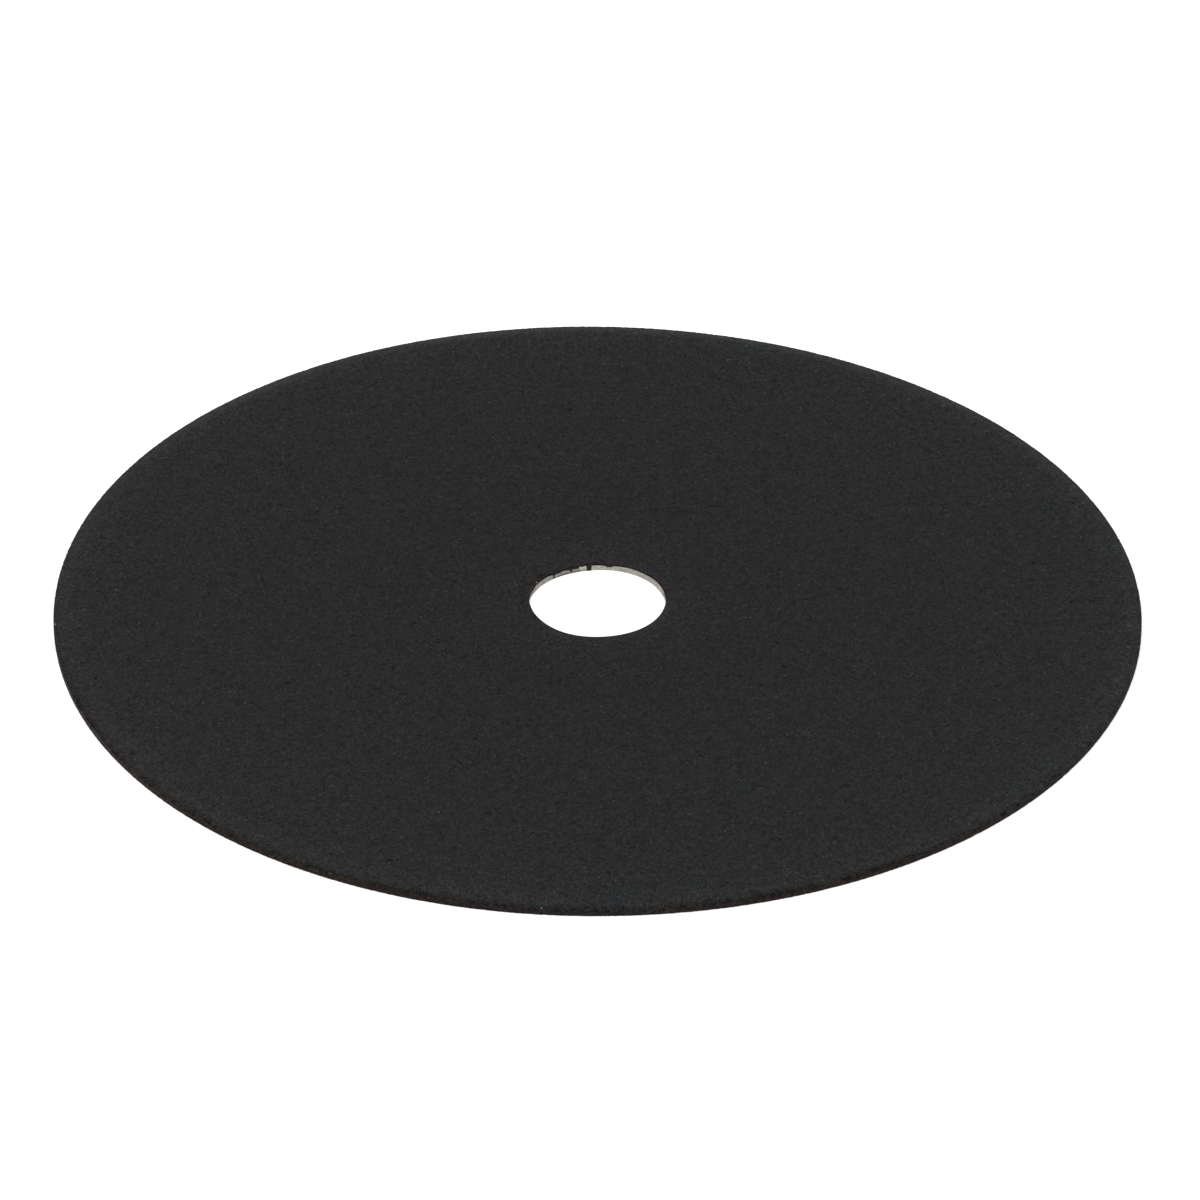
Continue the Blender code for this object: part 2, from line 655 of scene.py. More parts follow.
def publish(
    name: str,
    bm: bmesh.types.BMesh,
    material: bpy.types.Material,
    sharp_angle: float | None = 40.0,
) -> bpy.types.Object:
    """Turns a finished bmesh into a piece of the wheel.

    Args:
        name: The piece's name.
        bm: Its mesh, which is freed.
        material: Its finish.
        sharp_angle: The angle in degrees over which an edge stays sharp, or None for flat facets.

    Returns:
        The piece, riding on the wheel's body.
    """
    mesh = bpy.data.meshes.new(name)
    bm.to_mesh(mesh)
    bm.free()
    mesh.materials.append(material)
    if sharp_angle is not None:
        mesh.shade_smooth()
        mesh.set_sharp_from_angle(angle=radians(sharp_angle))
    piece = bpy.data.objects.new(name, mesh)
    bpy.context.scene.collection.objects.link(piece)
    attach(piece, BODY)
    mesh.calc_loop_triangles()
    log.info("%s: %d triangles", name, len(mesh.loop_triangles))
    return piece


def spin_line(bm: bmesh.types.BMesh, line: list[Pair], start: float, sweep: float, steps: int) -> None:
    """Turns a line of points round the wheel's axis.

    Args:
        bm: The mesh that takes the surface.
        line: Radius and height of each point.
        start: The turn where the surface begins.
        sweep: How far it goes, 360 degrees to close on itself.
        steps: How many columns it has.
    """
    points = [bm.verts.new(polar(radius, start, height)) for radius, height in line]
    edges = [bm.edges.new(pair) for pair in zip(points, points[1:])]
    bmesh.ops.spin(
        bm,
        geom=points + edges,
        cent=(0.0, 0.0, 0.0),
        axis=(0.0, 0.0, 1.0),
        angle=radians(sweep),
        steps=steps,
        use_merge=sweep == 360.0,
    )


@dataclass
class RingSize:
    """The ring's sizes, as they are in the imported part."""

    inner: float
    outer: float
    height: float
    gap: float = 0.00005


@dataclass
class AbrasiveDisc:
    """The moulded wheel, from the lip round its arbor hole out to its crumbled rim."""

    radius: float
    thickness: float
    shape: WheelShape
    ring: RingSize
    skin: float = 0.00005
    rim_skin: float = 0.00002
    weld: float = 1e-6
    columns: int = 600
    rim_cuts: int = 4
    rim_zone: float = 0.0036
    # The rows of the two faces: radii near the hole, then even rows out to the rim's zone, and then
    # distances inside the rim
    lower_start: float = 0.0180
    upper_start: tuple[float, ...] = (0.01648, 0.0167, 0.0170, 0.0174, 0.0181, 0.0189)
    face_start: float = 0.020
    face_rows: int = 12
    upper_steps: tuple[float, ...] = (
        0.0030,
        0.0024,
        0.0019,
        0.0015,
        0.0012,
        0.0009,
        0.00065,
        0.00045,
        0.00028,
    )
    lower_steps: tuple[float, ...] = (0.0005, 0.0012)
    wall_rows: int = 5
    corner: float = 0.00013
    rounding: float = 0.3
    grain_waves: float = 2300.0
    grain_depth: float = 0.00005
    grain_sink: float = 0.1
    # Chips come where three noises together pass the limits: one of chips, a finer one by the fine factor,
    # and a broad one of clusters
    chip_waves: float = 950.0
    chip_depth: float = 0.00034
    chip_pull: float = 0.7
    chip_slope: float = 0.9
    chip_reach: float = 0.00055
    chip_spread: float = 2.9
    chip_limits: Pair = (0.12, 0.34)
    fine_factor: float = 2.3
    fine_share: float = 0.3
    cluster_waves: float = 240.0
    cluster_share: float = 0.4
    lower_chips: float = 0.10
    # By turn: how much the rim is chipped
    wear: Levels = (
        (0.0, 0.35),
        (30.0, 0.12),
        (150.0, 0.12),
        (190.0, 0.40),
        (204.0, 1.15),
        (220.0, 1.25),
        (232.0, 1.0),
        (320.0, 1.0),
        (345.0, 0.5),
        (360.0, 0.35),
    )
    # By turn: how much painted shade both faces get beside the rim, or painted highlight where it is under
    # 0
    rim_face_painted_light: Levels = (
        (0.0, -0.3),
        (12.0, -0.4),
        (30.0, -0.8),
        (48.0, -1.4),
        (65.0, -1.5),
        (85.0, -2.0),
        (98.0, -2.0),
        (105.0, -2.5),
        (115.0, -1.2),
        (125.0, -2.0),
        (136.0, -1.8),
        (146.0, -1.0),
        (156.0, -0.7),
        (172.0, -0.8),
        (181.0, -0.5),
        (188.0, 0.1),
        (200.0, 0.55),
        (213.0, 0.30),
        (224.0, 0.45),
        (236.0, 0.52),
        (252.0, 1.10),
        (264.0, 0.78),
        (276.0, 0.68),
        (286.0, 1.05),
        (297.0, 0.85),
        (308.0, 0.60),
        (322.0, 0.28),
        (340.0, 0.05),
        (360.0, -0.3),
    )
    dark_reach: float = 0.0031
    light_reach: float = 0.0035
    # By turn: the same painted shade, or painted highlight under 0, for the wall of the rim
    rim_wall_painted_light: Levels = (
        (0.0, 0.0),
        (172.0, 0.0),
        (184.0, -0.6),
        (202.0, -1.2),
        (214.0, -0.4),
        (226.0, 0.20),
        (238.0, 0.25),
        (256.0, 0.42),
        (276.0, 0.17),
        (288.0, 0.14),
        (300.0, 0.08),
        (312.0, -0.12),
        (328.0, 0.0),
        (336.0, -0.4),
        (346.0, -0.6),
        (360.0, -0.2),
    )
    # By turn: how far in from the rim the brown goes, how strong it is, and how much of it the upper face
    # shows
    trued_reach: Levels = (
        (0.0, 0.0016),
        (194.0, 0.0016),
        (204.0, 0.0030),
        (222.0, 0.0030),
        (232.0, 0.0016),
    )
    browning: Levels = (
        (0.0, 0.45),
        (20.0, 0.8),
        (165.0, 0.8),
        (182.0, 0.1),
        (190.0, 0.4),
        (202.0, 0.85),
        (228.0, 0.95),
        (238.0, 1.1),
        (248.0, 1.05),
        (258.0, 0.80),
        (266.0, 0.68),
        (275.0, 0.48),
        (285.0, 0.95),
        (296.0, 1.2),
        (306.0, 0.78),
        (318.0, 0.42),
        (326.0, 0.32),
        (334.0, 0.45),
        (345.0, 0.08),
        (360.0, 0.45),
    )
    brown_face: Levels = (
        (0.0, 1.0),
        (15.0, 0.0),
        (170.0, 0.0),
        (185.0, 1.0),
        (360.0, 1.0),
    )
    lip_lift: float = 0.00020
    lip_back: float = 0.00002
    lip_corner: float = 0.00004
    lip_steps: tuple[float, ...] = (0.00013, 0.00026, 0.00040)
    # How far the painted shadow along the lip's edge goes, and its shares that are fixed, that grow with
    # its darkness and that waver
    lip_reach: float = 0.00036
    lip_fixed: float = 0.7
    lip_growth: float = 0.45
    lip_waver: float = 0.7
    lip_least: float = 0.0001
    lip_waves: float = 1100.0
    # By turn: how dark the painted shadow on the lip's edge is, how much painted shade the face round it
    # gets, or painted highlight under 0, and how brown
    lip_painted_shadow: Levels = (
        (0.0, 0.0),
        (20.0, 1.3),
        (30.0, 1.9),
        (46.0, 1.7),
        (52.0, 2.4),
        (58.0, 1.3),
        (64.0, 1.0),
        (74.0, 1.3),
        (84.0, 1.4),
        (88.0, 2.4),
        (94.0, 2.2),
        (97.0, 0.9),
        (106.0, 1.1),
        (117.0, 1.3),
        (122.0, 0.4),
        (127.0, 0.7),
        (134.0, 1.8),
        (142.0, 1.4),
        (150.0, 0.8),
        (156.0, 0.2),
        (180.0, 0.0),
        (360.0, 0.0),
    )
    lip_painted_light: Levels = (
        (0.0, -0.3),
        (16.0, -0.2),
        (30.0, -0.5),
        (50.0, -0.4),
        (76.0, -0.4),
        (90.0, 0.0),
        (150.0, 0.0),
        (158.0, -0.6),
        (165.0, -1.3),
        (172.0, -0.6),
        (182.0, 0.1),
        (190.0, 0.35),
        (212.0, 0.35),
        (222.0, -0.3),
        (238.0, -0.8),
        (250.0, -0.4),
        (262.0, -0.9),
        (276.0, -0.9),
        (286.0, -0.6),
        (298.0, -1.1),
        (310.0, -0.5),
        (322.0, -0.8),
        (334.0, -1.1),
        (346.0, -0.9),
        (360.0, -0.3),
    )
    lip_light_reach: float = 0.0028
    lip_brown: Levels = (
        (0.0, 0.1),
        (16.0, 1.5),
        (44.0, 1.5),
        (52.0, 0.7),
        (60.0, 1.3),
        (84.0, 1.6),
        (92.0, 1.2),
        (126.0, 1.3),
        (142.0, 1.7),
        (150.0, 1.6),
        (156.0, 0.9),
        (166.0, 0.6),
        (178.0, 0.6),
        (190.0, 0.5),
        (198.0, 0.0),
        (350.0, 0.0),
        (360.0, 0.1),
    )
    lip_brown_reach: float = 0.0019
    # Turn, radius, extent and depth of the soft smudges beside the hole
    smudges: tuple[tuple[float, float, float, float], ...] = (
        (139.5, 0.0169, 0.0023, 1.0),
        (155.5, 0.0179, 0.0015, 0.85),
        (164.0, 0.0182, 0.0018, 0.55),
        (172.0, 0.0177, 0.0018, 0.52),
        (181.0, 0.0174, 0.0016, 0.60),
        (91.5, 0.0165, 0.0016, 0.85),
        (110.0, 0.0165, 0.0012, 0.20),
    )
    face_waves: float = 90.0
    face_depth: float = 0.00001
    finish: AbrasiveFinish = field(default_factory=AbrasiveFinish)

    @property
    def low(self) -> float:
        """Height of the lower face between its standing grains."""
        return self.skin

    @property
    def high(self) -> float:
        """Height of the upper face between its standing grains."""
        return self.thickness - self.skin

    @property
    def rim(self) -> float:
        """Radius of the rim between its standing grains."""
        return self.radius - self.rim_skin

    @property
    def seat_top(self) -> float:
        """Height of the lip's under side, over the ring."""
        return self.ring.height + self.lip_lift

    def build(self, material: bpy.types.Material) -> bpy.types.Object:
        """Makes the disc.

        Args:
            material: The abrasive's finish.

        Returns:
            The piece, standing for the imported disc.
        """
        bm = bmesh.new()
        spin_line(bm, self._inner_line(), 0.0, 360.0, self.columns)
        self._draw_out_rim(bm)
        bmesh.ops.remove_doubles(bm, verts=bm.verts, dist=self.weld)
        bmesh.ops.recalc_face_normals(bm, faces=bm.faces)
        self._roughen(bm)
        self.shape.settle(bm.verts)
        piece = publish("wheel_body", bm, material)
        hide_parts(DISC_NODE)
        return piece

    def _inner_line(self) -> list[Pair]:
        """Returns the section from the lower face's rim zone in, up past the ring's seat and out again."""
        inner, outer = self.ring.inner + self.lip_back, self.ring.outer + self.ring.gap
        seat_top, ease = self.seat_top, self.lip_corner
        sharp, eased = ease / 5, ease * self.rounding
        near, far = self.face_start, self.radius - self.rim_zone
        rows = [near + (far - near) * step / self.face_rows for step in range(self.face_rows + 1)]
        lower = [(radius, self.low) for radius in (*reversed(rows[::2]), self.lower_start)]
        lower += [(outer + self.corner, self.low), (outer, self.low + self.corner / 2)]
        seat = [(outer, seat_top), (inner + sharp, seat_top)]
        lip = [(inner, seat_top + sharp), (inner, self.high - ease), (inner + eased, self.high - eased)]
        lip += [(inner + step, self.high) for step in (ease, *self.lip_steps)]
        upper = [(radius, self.high) for radius in (*self.upper_start, *rows)]
        return lower + seat + lip + upper

    def _rim_rows(self) -> list[Pair]:
        """Returns radius and height of each row round the rim, from the upper face to the lower one."""
        eased = self.corner * self.rounding
        upper = [(self.rim - step, self.high) for step in (*self.upper_steps, self.corner)]
        upper += [(self.rim - eased, self.high - eased)]
        top, bottom = self.high - self.corner, self.low + self.corner
        drop = bottom - top
        wall = [(self.rim, top + drop * step / self.wall_rows) for step in range(self.wall_rows + 1)]
        lower = [(self.rim - eased, self.low + eased)]
        lower += [(self.rim - step, self.low) for step in (self.corner, *self.lower_steps)]
        return upper + wall + lower + [(self.radius - self.rim_zone, self.low)]

    def _draw_out_rim(self, bm: bmesh.types.BMesh) -> None:
        """Splits the two open edges finely and draws the upper one out, round the rim and back in below.

        Args:
            bm: The disc's mesh, open at its rim zone.
        """
        open_edges = [edge for edge in bm.edges if edge.is_boundary]
        bmesh.ops.subdivide_edges(bm, edges=open_edges, cuts=self.rim_cuts)
        wide = [face for face in bm.faces if len(face.verts) > 4]
        open_edges = [edge for edge in bm.edges if edge.is_boundary]
        for vert in {vert for edge in open_edges for vert in edge.verts}:
            vert.co = polar(self.radius - self.rim_zone, turn_of(vert.co), vert.co.z)
        bmesh.ops.triangulate(bm, faces=wide)
        middle = self.thickness / 2
        loop = [edge for edge in open_edges if edge.verts[0].co.z > middle]
        for radius, height in self._rim_rows():
            drawn = bmesh.ops.extrude_edge_only(bm, edges=loop)["geom"]
            moved = {vert for vert in drawn if isinstance(vert, bmesh.types.BMVert)}
            for vert in moved:
                vert.co = polar(radius, turn_of(vert.co), height)
            loop = [
                edge for edge in drawn
                if isinstance(edge, bmesh.types.BMEdge) and moved.issuperset(edge.verts)
            ]

    def _roughen(self, bm: bmesh.types.BMesh) -> None:
        """Gives the faces a slight unevenness and the rim its grains and chips, and marks each point's
        brown and its painted light and shade.

        Args:
            bm: The disc's whole mesh, whose normals point out.
        """
        painted_light_and_smudge = bm.verts.layers.float.new(PAINTED_LIGHT_AND_SMUDGE)
        trued = bm.verts.layers.float.new(TRUED)
        bm.normal_update()
        moves = {}
        for vert in bm.verts:
            vert[trued] = self.trued_at(vert.co)
            vert[painted_light_and_smudge] = self.painted_light_at(vert.co)
            if radius_of(vert.co) > self.shape.hole.calm_radius:
                moves[vert] = self._move(vert, painted_light_and_smudge)
        for vert, move in moves.items():
            vert.co += move

    def _move(self, vert: bmesh.types.BMVert, painted_light_and_smudge: bmesh.types.BMLayerItem) -> Vector:
        """Works out how far one point moves, and paints shade into it by how deep it lies in a chip.

        Args:
            vert: The point.
            painted_light_and_smudge: The layer that holds the painted shade and light.

        Returns:
            The move.
        """
        place = vert.co.copy()
        out = radius_of(place)
        move = vert.normal * (self.face_depth * noise.noise(place * self.face_waves))
        near_rim = smooth_step(self.radius - self.rim_zone / 2, self.rim - self.corner, out)
        if near_rim > 0.0:
            grain = noise.noise(place * self.grain_waves)
            move += vert.normal * (self.grain_depth * near_rim * (grain - self.grain_sink))
            deep = self._chip(place)
            # Painted shade in the chip's hollow, the deeper the darker
            vert[painted_light_and_smudge] += deep * (1.0 - vert[painted_light_and_smudge])
            inward = Vector((-place.x, -place.y, 0.0)).normalized()
            inward.z = -self.chip_slope if self.is_upper(place) else self.chip_slope
            move += inward * (self.chip_depth * deep * self.chip_pull)
        return move

    def is_upper(self, place: Vector) -> bool:
        """Says whether a place lies in the upper half of the disc."""
        return place.z > self.thickness / 2

    def trued_at(self, place: Vector) -> float:
        """Works out how much a place shows the browner bond.

        Args:
            place: A place on the disc, before it is settled.

        Returns:
            A share, 0 on plain face and up to 1 on the trued rim and the lip.
        """
        turn, out = turn_of(place), radius_of(place)
        if out < self.shape.hole.calm_radius:
            fade = max(0.0, 1.0 - (out - self.ring.inner) / self.lip_brown_reach)
            return between(self.lip_brown, turn) * min(1.0, fade * fade)
        inward = self.rim - self.corner - out
        share = between(self.browning, turn)
        if inward < 0.0:
            inward = -min(self.high - place.z, place.z - self.low)
        if inward > -self.corner and self.is_upper(place):
            share *= between(self.brown_face, turn)
        reach = between(self.trued_reach, turn)
        return share * (1.0 - smooth_step(-reach / 2, reach, inward))

    def painted_light_at(self, place: Vector) -> float:
        """Works out how much painted shade a place gets, or painted light where the value is under 0, and
        how smudged it is by the hole.

        Args:
            place: A place on the disc, before it is settled.

        Returns:
            How dark it is painted, as for a chip.
        """
        turn, out = turn_of(place), radius_of(place)
        if out < self.shape.hole.calm_radius:
            return self._lip_painted_light_at(place, turn, out - self.ring.inner) if self.is_upper(place) else 0.0
        if out > self.rim - self.corner / 2:
            return between(self.rim_wall_painted_light, turn)
        level = between(self.rim_face_painted_light, turn)
        away = self.rim - out
        if level < 0.0:
            return level * max(0.0, 1.0 - away / self.light_reach)
        return level * (1.0 - smooth_step(0.0, self.dark_reach, away))

    def _lip_painted_light_at(self, place: Vector, turn: float, out: float) -> float:
        """Works out the painted shadow along the lip's edge, the painted light and shade round it, and the
        smudges by the hole.

        Args:
            place: A place on the upper half of the disc.
            turn: Its turn.
            out: Its distance outside the ring's inner side.

        Returns:
            How dark it is, as for a chip.
        """
        # Painted shadow along the lip's edge, as in a crevice
        dark = between(self.lip_painted_shadow, turn)
        wavering = self.lip_waver * noise.noise(place * self.lip_waves)
        reach = self.lip_reach * (self.lip_fixed + self.lip_growth * dark + wavering)
        level = dark * (1.0 - smooth_step(reach / 3, max(reach, self.lip_least), out))
        # Painted highlight round the lip, or painted shade where the level is over 0
        level += between(self.lip_painted_light, turn) * max(0.0, 1.0 - out / self.lip_light_reach)
        for middle, radius, extent, depth in self.smudges:
            away = (place - polar(radius, middle, place.z)).length
            if away < extent:
                level = max(level, depth * (1.0 - smooth_step(0.0, extent, away)))
        return level

    def _chip(self, place: Vector) -> float:
        """Returns how deep a chip is at a place, from 0 to 1, with most chips at the upper corner."""
        level = noise.noise(place * self.chip_waves)
        level += self.fine_share * noise.noise(place * self.chip_waves * self.fine_factor)
        level += self.cluster_share * noise.noise(place * self.cluster_waves)
        inward = (self.rim - radius_of(place)) / self.chip_spread
        upper = hypot(inward, self.high - place.z)
        lower = hypot(inward, place.z - self.low)
        share = max(
            1.0 - smooth_step(0.0, self.chip_reach, upper),
            self.lower_chips * (1.0 - smooth_step(0.0, self.chip_reach, lower)),
        )
        return share * between(self.wear, turn_of(place)) * smooth_step(*self.chip_limits, level)


class Surface(Enum):
    """Where a layer of grit stands."""

    UPPER = "upper"
    LOWER = "lower"
    RIM = "rim"


@dataclass
class GritLayer:
    """The grains that stand out of one surface, as small angular solids."""

    disc: AbrasiveDisc
    surface: Surface
    count: int
    seed: int
    smallest: float = 0.00010
    largest: float = 0.00020
    stretches: Pair = (0.75, 1.25)
    knobs: Pair = (0.72, 1.05)
    proud: float = 0.00004
    proud_shares: Pair = (0.35, 1.0)
    tone_spread: float = 0.28
    tone_limits: Pair = (-0.6, 1.0)
    glint_grain_share: float = 0.004
    glint_grain_tone: float = 2.0
    hole_margin: float = 0.0009
    rim_margin: float = 0.0002
    wall_margin: float = 0.6
    # Lone grains in the upper face: their turn, radius and tone, the light ones painted glints
    strays: tuple[Triple, ...] = ()
    stray_size: float = 0.00032
    stray_proud: float = 0.00012
    dark_stray_size: float = 0.00072
    dark_stray_proud: float = 0.00036

    def build(self, material: bpy.types.Material) -> bpy.types.Object:
        """Makes the grains.

        Args:
            material: The abrasive's finish.

        Returns:
            The piece.
        """
        draw = random.Random(self.seed)
        bm = bmesh.new()
        tone = bm.verts.layers.float.new(TONE)
        trued = bm.verts.layers.float.new(TRUED)
        painted_light_and_smudge = bm.verts.layers.float.new(PAINTED_LIGHT_AND_SMUDGE)
        bmesh.ops.create_icosphere(bm, subdivisions=1, radius=1.0)
        corners = [vert.co.copy() for vert in bm.verts]
        total = self.count + len(self.strays)
        self._copy_grains(bm, total)
        verts = list(bm.verts)
        for number in range(total):
            own = verts[number * len(corners) : (number + 1) * len(corners)]
            if number < self.count:
                size = draw.uniform(self.smallest, self.largest)
                spot = self._spot(draw)
                self._shape(own, corners, spot, size, self.proud * draw.uniform(*self.proud_shares), draw)
                level = self._tone(draw)
            else:
                turn, radius, level = self.strays[number - self.count]
                size = self.stray_size if level > 0.0 else self.dark_stray_size
                proud = self.stray_proud if level > 0.0 else self.dark_stray_proud
                self._shape(own, corners, (turn, radius, self.disc.high), size, proud, draw)
            for vert in own:
                vert[tone] = level
                vert[trued] = self.disc.trued_at(vert.co)
                vert[painted_light_and_smudge] = self.disc.painted_light_at(vert.co)
        self.disc.shape.settle(bm.verts)
        bmesh.ops.recalc_face_normals(bm, faces=bm.faces)
        return publish(f"grit_{self.surface.value}", bm, material, sharp_angle=None)

    @staticmethod
    def _copy_grains(bm: bmesh.types.BMesh, total: int) -> None:
        """Copies the first grain, doubling what there is, until there are enough.

        Args:
            bm: A mesh that holds one grain.
            total: How many it holds afterwards.
        """
        kinds = (bm.verts, bm.edges, bm.faces)
        shares = [len(kind) for kind in kinds]
        made = 1
        while made < total:
            more = min(made, total - made)
            parts = [list(kind)[: more * share] for kind, share in zip(kinds, shares)]
            bmesh.ops.duplicate(bm, geom=[item for part in parts for item in part])
            made += more

    def _tone(self, draw: random.Random) -> float:
        """Returns the random tone of a grain, of which a few are far lighter, as painted glints."""
        level = draw.gauss(0.0, self.tone_spread)
        if draw.random() < self.glint_grain_share:
            return self.glint_grain_tone
        lowest, highest = self.tone_limits
        return max(lowest, min(highest, level))

    def _spot(self, draw: random.Random) -> Triple:
        """Returns a random turn, radius and height on the surface."""
        turn = draw.uniform(0.0, 360.0)
        if self.surface is Surface.RIM:
            margin = self.disc.corner * self.wall_margin
            return turn, self.disc.rim, draw.uniform(self.disc.low + margin, self.disc.high - margin)
        inner, outer = self.disc.ring.inner + self.hole_margin, self.disc.rim - self.rim_margin
        radius = (inner**2 + (outer**2 - inner**2) * draw.random()) ** 0.5
        return turn, radius, self.disc.high if self.surface is Surface.UPPER else self.disc.low

    def _out(self, turn: float) -> Vector:
        """Returns the direction that the surface faces at a turn."""
        if self.surface is Surface.RIM:
            return polar(1.0, turn, 0.0)
        return Vector((0.0, 0.0, 1.0 if self.surface is Surface.UPPER else -1.0))

    def _shape(
        self,
        own: list[bmesh.types.BMVert],
        corners: list[Vector],
        spot: Triple,
        size: float,
        proud: float,
        draw: random.Random,
    ) -> None:
        """Makes one grain angular and seats it a little proud, but between the wheel's two faces.

        Args:
            own: The grain's points.
            corners: The same points on a ball of radius 1.
            spot: Turn, radius and height of its place on the surface.
            size: About half its width.
            proud: How far it stands out of the surface.
            draw: The source of chance.
        """
        stretch = Matrix.Diagonal([size * draw.uniform(*self.stretches) for _ in range(3)])
        axis = Vector([draw.uniform(-1.0, 1.0) for _ in range(3)]).normalized()
        turned = Matrix.Rotation(draw.uniform(0.0, 2 * pi), 3, axis)
        shaped = [turned @ (stretch @ (corner * draw.uniform(*self.knobs))) for corner in corners]
        out = self._out(spot[0])
        reach = max(point.dot(out) for point in shaped)
        middle = polar(spot[1], spot[0], spot[2]) + out * (proud - reach)
        for vert, point in zip(own, shaped):
            vert.co = middle + point
            vert.co.z = min(self.disc.thickness, max(0.0, vert.co.z))


@dataclass
class ArborRing:
    """The strip that lines the hole, rolled round and left open at its butt joint."""

    size: RingSize
    shape: WheelShape
    split_turn: float = 97.4
    split_width: float = 4.1
    # Turn and width in degrees of the nicks, and how much of the strip's height they take
    nicks: tuple[Triple, ...] = (
        (79.3, 3.4, 0.30),
        (109.5, 6.6, 0.24),
        (113.4, 1.2, 0.60),
        (130.4, 1.5, 0.74),
    )
    nick_slope: float = 0.25
    columns: int = 1440
    weld: float = 1e-7
    seam_margin: float = 1e-3
    # By turn: how far the strip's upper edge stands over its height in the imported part
    crest: Levels = (
        (0.0, 0.00002),
        (8.0, 0.00004),
        (12.0, 0.00010),
        (18.0, 0.00019),
        (66.0, 0.00019),
        (74.0, 0.00015),
        (82.0, 0.00004),
        (86.0, 0.00002),
        (89.0, 0.00007),
        (95.0, 0.00013),
        (99.4, 0.00014),
        (106.0, 0.00018),
        (106.4, 0.00005),
        (110.0, 0.00005),
        (117.0, 0.00008),
        (121.0, 0.00004),
        (124.0, -0.00008),
        (127.0, 0.00002),
        (131.5, 0.00010),
        (136.0, 0.00018),
        (156.0, 0.00018),
        (160.0, 0.00007),
        (164.0, 0.00005),
        (174.0, 0.00003),
        (177.0, 0.00010),
    )
    # By turn: how much painted highlight lightens the strip, how dirty its upper half is, how far it has
    # lost its warm tint, and how dirty the whole of it is
    strip_painted_highlight: Levels = (
        (80.0, 0.0),
        (85.0, 0.07),
        (98.0, 0.07),
        (99.5, 0.28),
        (105.8, 0.28),
        (106.2, 0.0),
    )
    soot: Levels = (
        (7.0, 0.0),
        (9.0, 0.26),
        (12.0, 0.80),
        (15.0, 0.50),
        (19.0, 0.10),
        (24.0, 0.0),
        (156.0, 0.0),
        (161.0, 0.80),
        (166.0, 0.86),
        (171.0, 0.92),
        (175.4, 0.95),
        (176.8, 0.0),
    )
    pallor: Levels = (
        (0.0, 1.0),
        (14.0, 1.0),
        (26.0, 0.2),
        (50.0, 0.0),
        (97.0, 0.0),
        (108.0, 0.3),
        (126.0, 0.6),
        (156.0, 0.5),
        (162.0, 0.9),
        (180.0, 1.0),
    )
    dirt: Levels = (
        (0.0, 0.03),
        (7.0, 0.03),
        (12.0, 0.16),
        (22.0, 0.09),
        (60.0, 0.06),
        (66.0, 0.0),
        (105.5, 0.02),
        (107.0, 0.75),
        (111.0, 0.40),
        (115.0, 0.12),
        (120.0, 0.26),
        (128.0, 0.34),
        (134.0, 0.22),
        (146.0, 0.22),
        (158.0, 0.30),
        (171.0, 0.34),
        (174.0, 0.50),
        (176.0, 0.05),
        (190.0, 0.30),
        (215.0, 0.24),
        (230.0, 0.06),
    )
    # Shares of the height between which the painted highlight and the soot come in, and the darkening at
    # the foot ends
    highlight_rise: Pair = (0.2, 0.4)
    soot_rise: Pair = (0.25, 0.65)
    foot_rise: Pair = (0.22, 0.42)
    # Turns between which the darkening at the foot comes in and goes
    foot_start: Pair = (98.0, 99.5)
    foot_end: Pair = (131.0, 136.0)
    foot_darkening: float = 0.5
    rows: int = 8
    eased: float = 0.00003
    finish: StripFinish = field(default_factory=StripFinish)

    def build(self) -> bpy.types.Object:
        """Makes the ring.

        Returns:
            The piece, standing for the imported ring.
        """
        bm = bmesh.new()
        start = self.split_turn + self.split_width / 2
        spin_line(bm, self._section(), start, 360.0 - self.split_width, self.columns)
        bmesh.ops.remove_doubles(bm, verts=bm.verts, dist=self.weld)
        ends = [edge for edge in bm.edges if edge.is_boundary]
        bmesh.ops.edgeloop_fill(bm, edges=ends)
        bmesh.ops.recalc_face_normals(bm, faces=bm.faces)
        self._map_length(bm, start)
        self._soil(bm)
        self._nick(bm)
        self.shape.settle(bm.verts)
        piece = publish("arbor_ring_strip", bm, self.finish.material())
        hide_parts(RING_NODE)
        return piece

    def crest_at(self, turn: float) -> float:
        """Returns the height of the strip's upper edge at a turn, before its nicks."""
        return self.size.height + between(self.crest, turn)

    def _section(self) -> list[Pair]:
        """Returns the strip's closed section, with its corners eased."""
        inner, outer, top, ease = self.size.inner, self.size.outer, self.size.height, self.eased
        face = [(inner, ease + (top - 2 * ease) * step / self.rows) for step in range(self.rows + 1)]
        back = [(inner + ease, top), (outer - ease, top), (outer, top - ease)]
        foot = [(outer, ease), (outer - ease, 0.0), (inner + ease, 0.0)]
        return face + back + foot + face[:1]

    def _map_length(self, bm: bmesh.types.BMesh, start: float) -> None:
        """Lays the strip's length and height out in its UV map, in metres.

        Args:
            bm: The ring's mesh.
            start: The turn of the strip's first end.
        """
        layer = bm.loops.layers.uv.new("along_strip")
        per_degree = radians(1.0) * self.size.inner
        for face in bm.faces:
            for loop in face.loops:
                turned = (turn_of(loop.vert.co) - start + self.seam_margin) % 360.0
                loop[layer].uv = (turned * per_degree, loop.vert.co.z)

    def _soil(self, bm: bmesh.types.BMesh) -> None:
        """Marks the strip's painted highlight, where it has lost its tint, where it is dirty and where it
        is darker towards its foot.

        Args:
            bm: The ring's mesh.
        """
        tone = bm.verts.layers.float.new(TONE)
        grime = bm.verts.layers.float.new(GRIME)
        bare = bm.verts.layers.float.new(BARE)
        for vert in bm.verts:
            turn, rise = turn_of(vert.co), vert.co.z / self.size.height
            foot = smooth_step(*self.foot_start, turn) * (1.0 - smooth_step(*self.foot_end, turn))
            foot *= 1.0 - smooth_step(*self.foot_rise, rise)
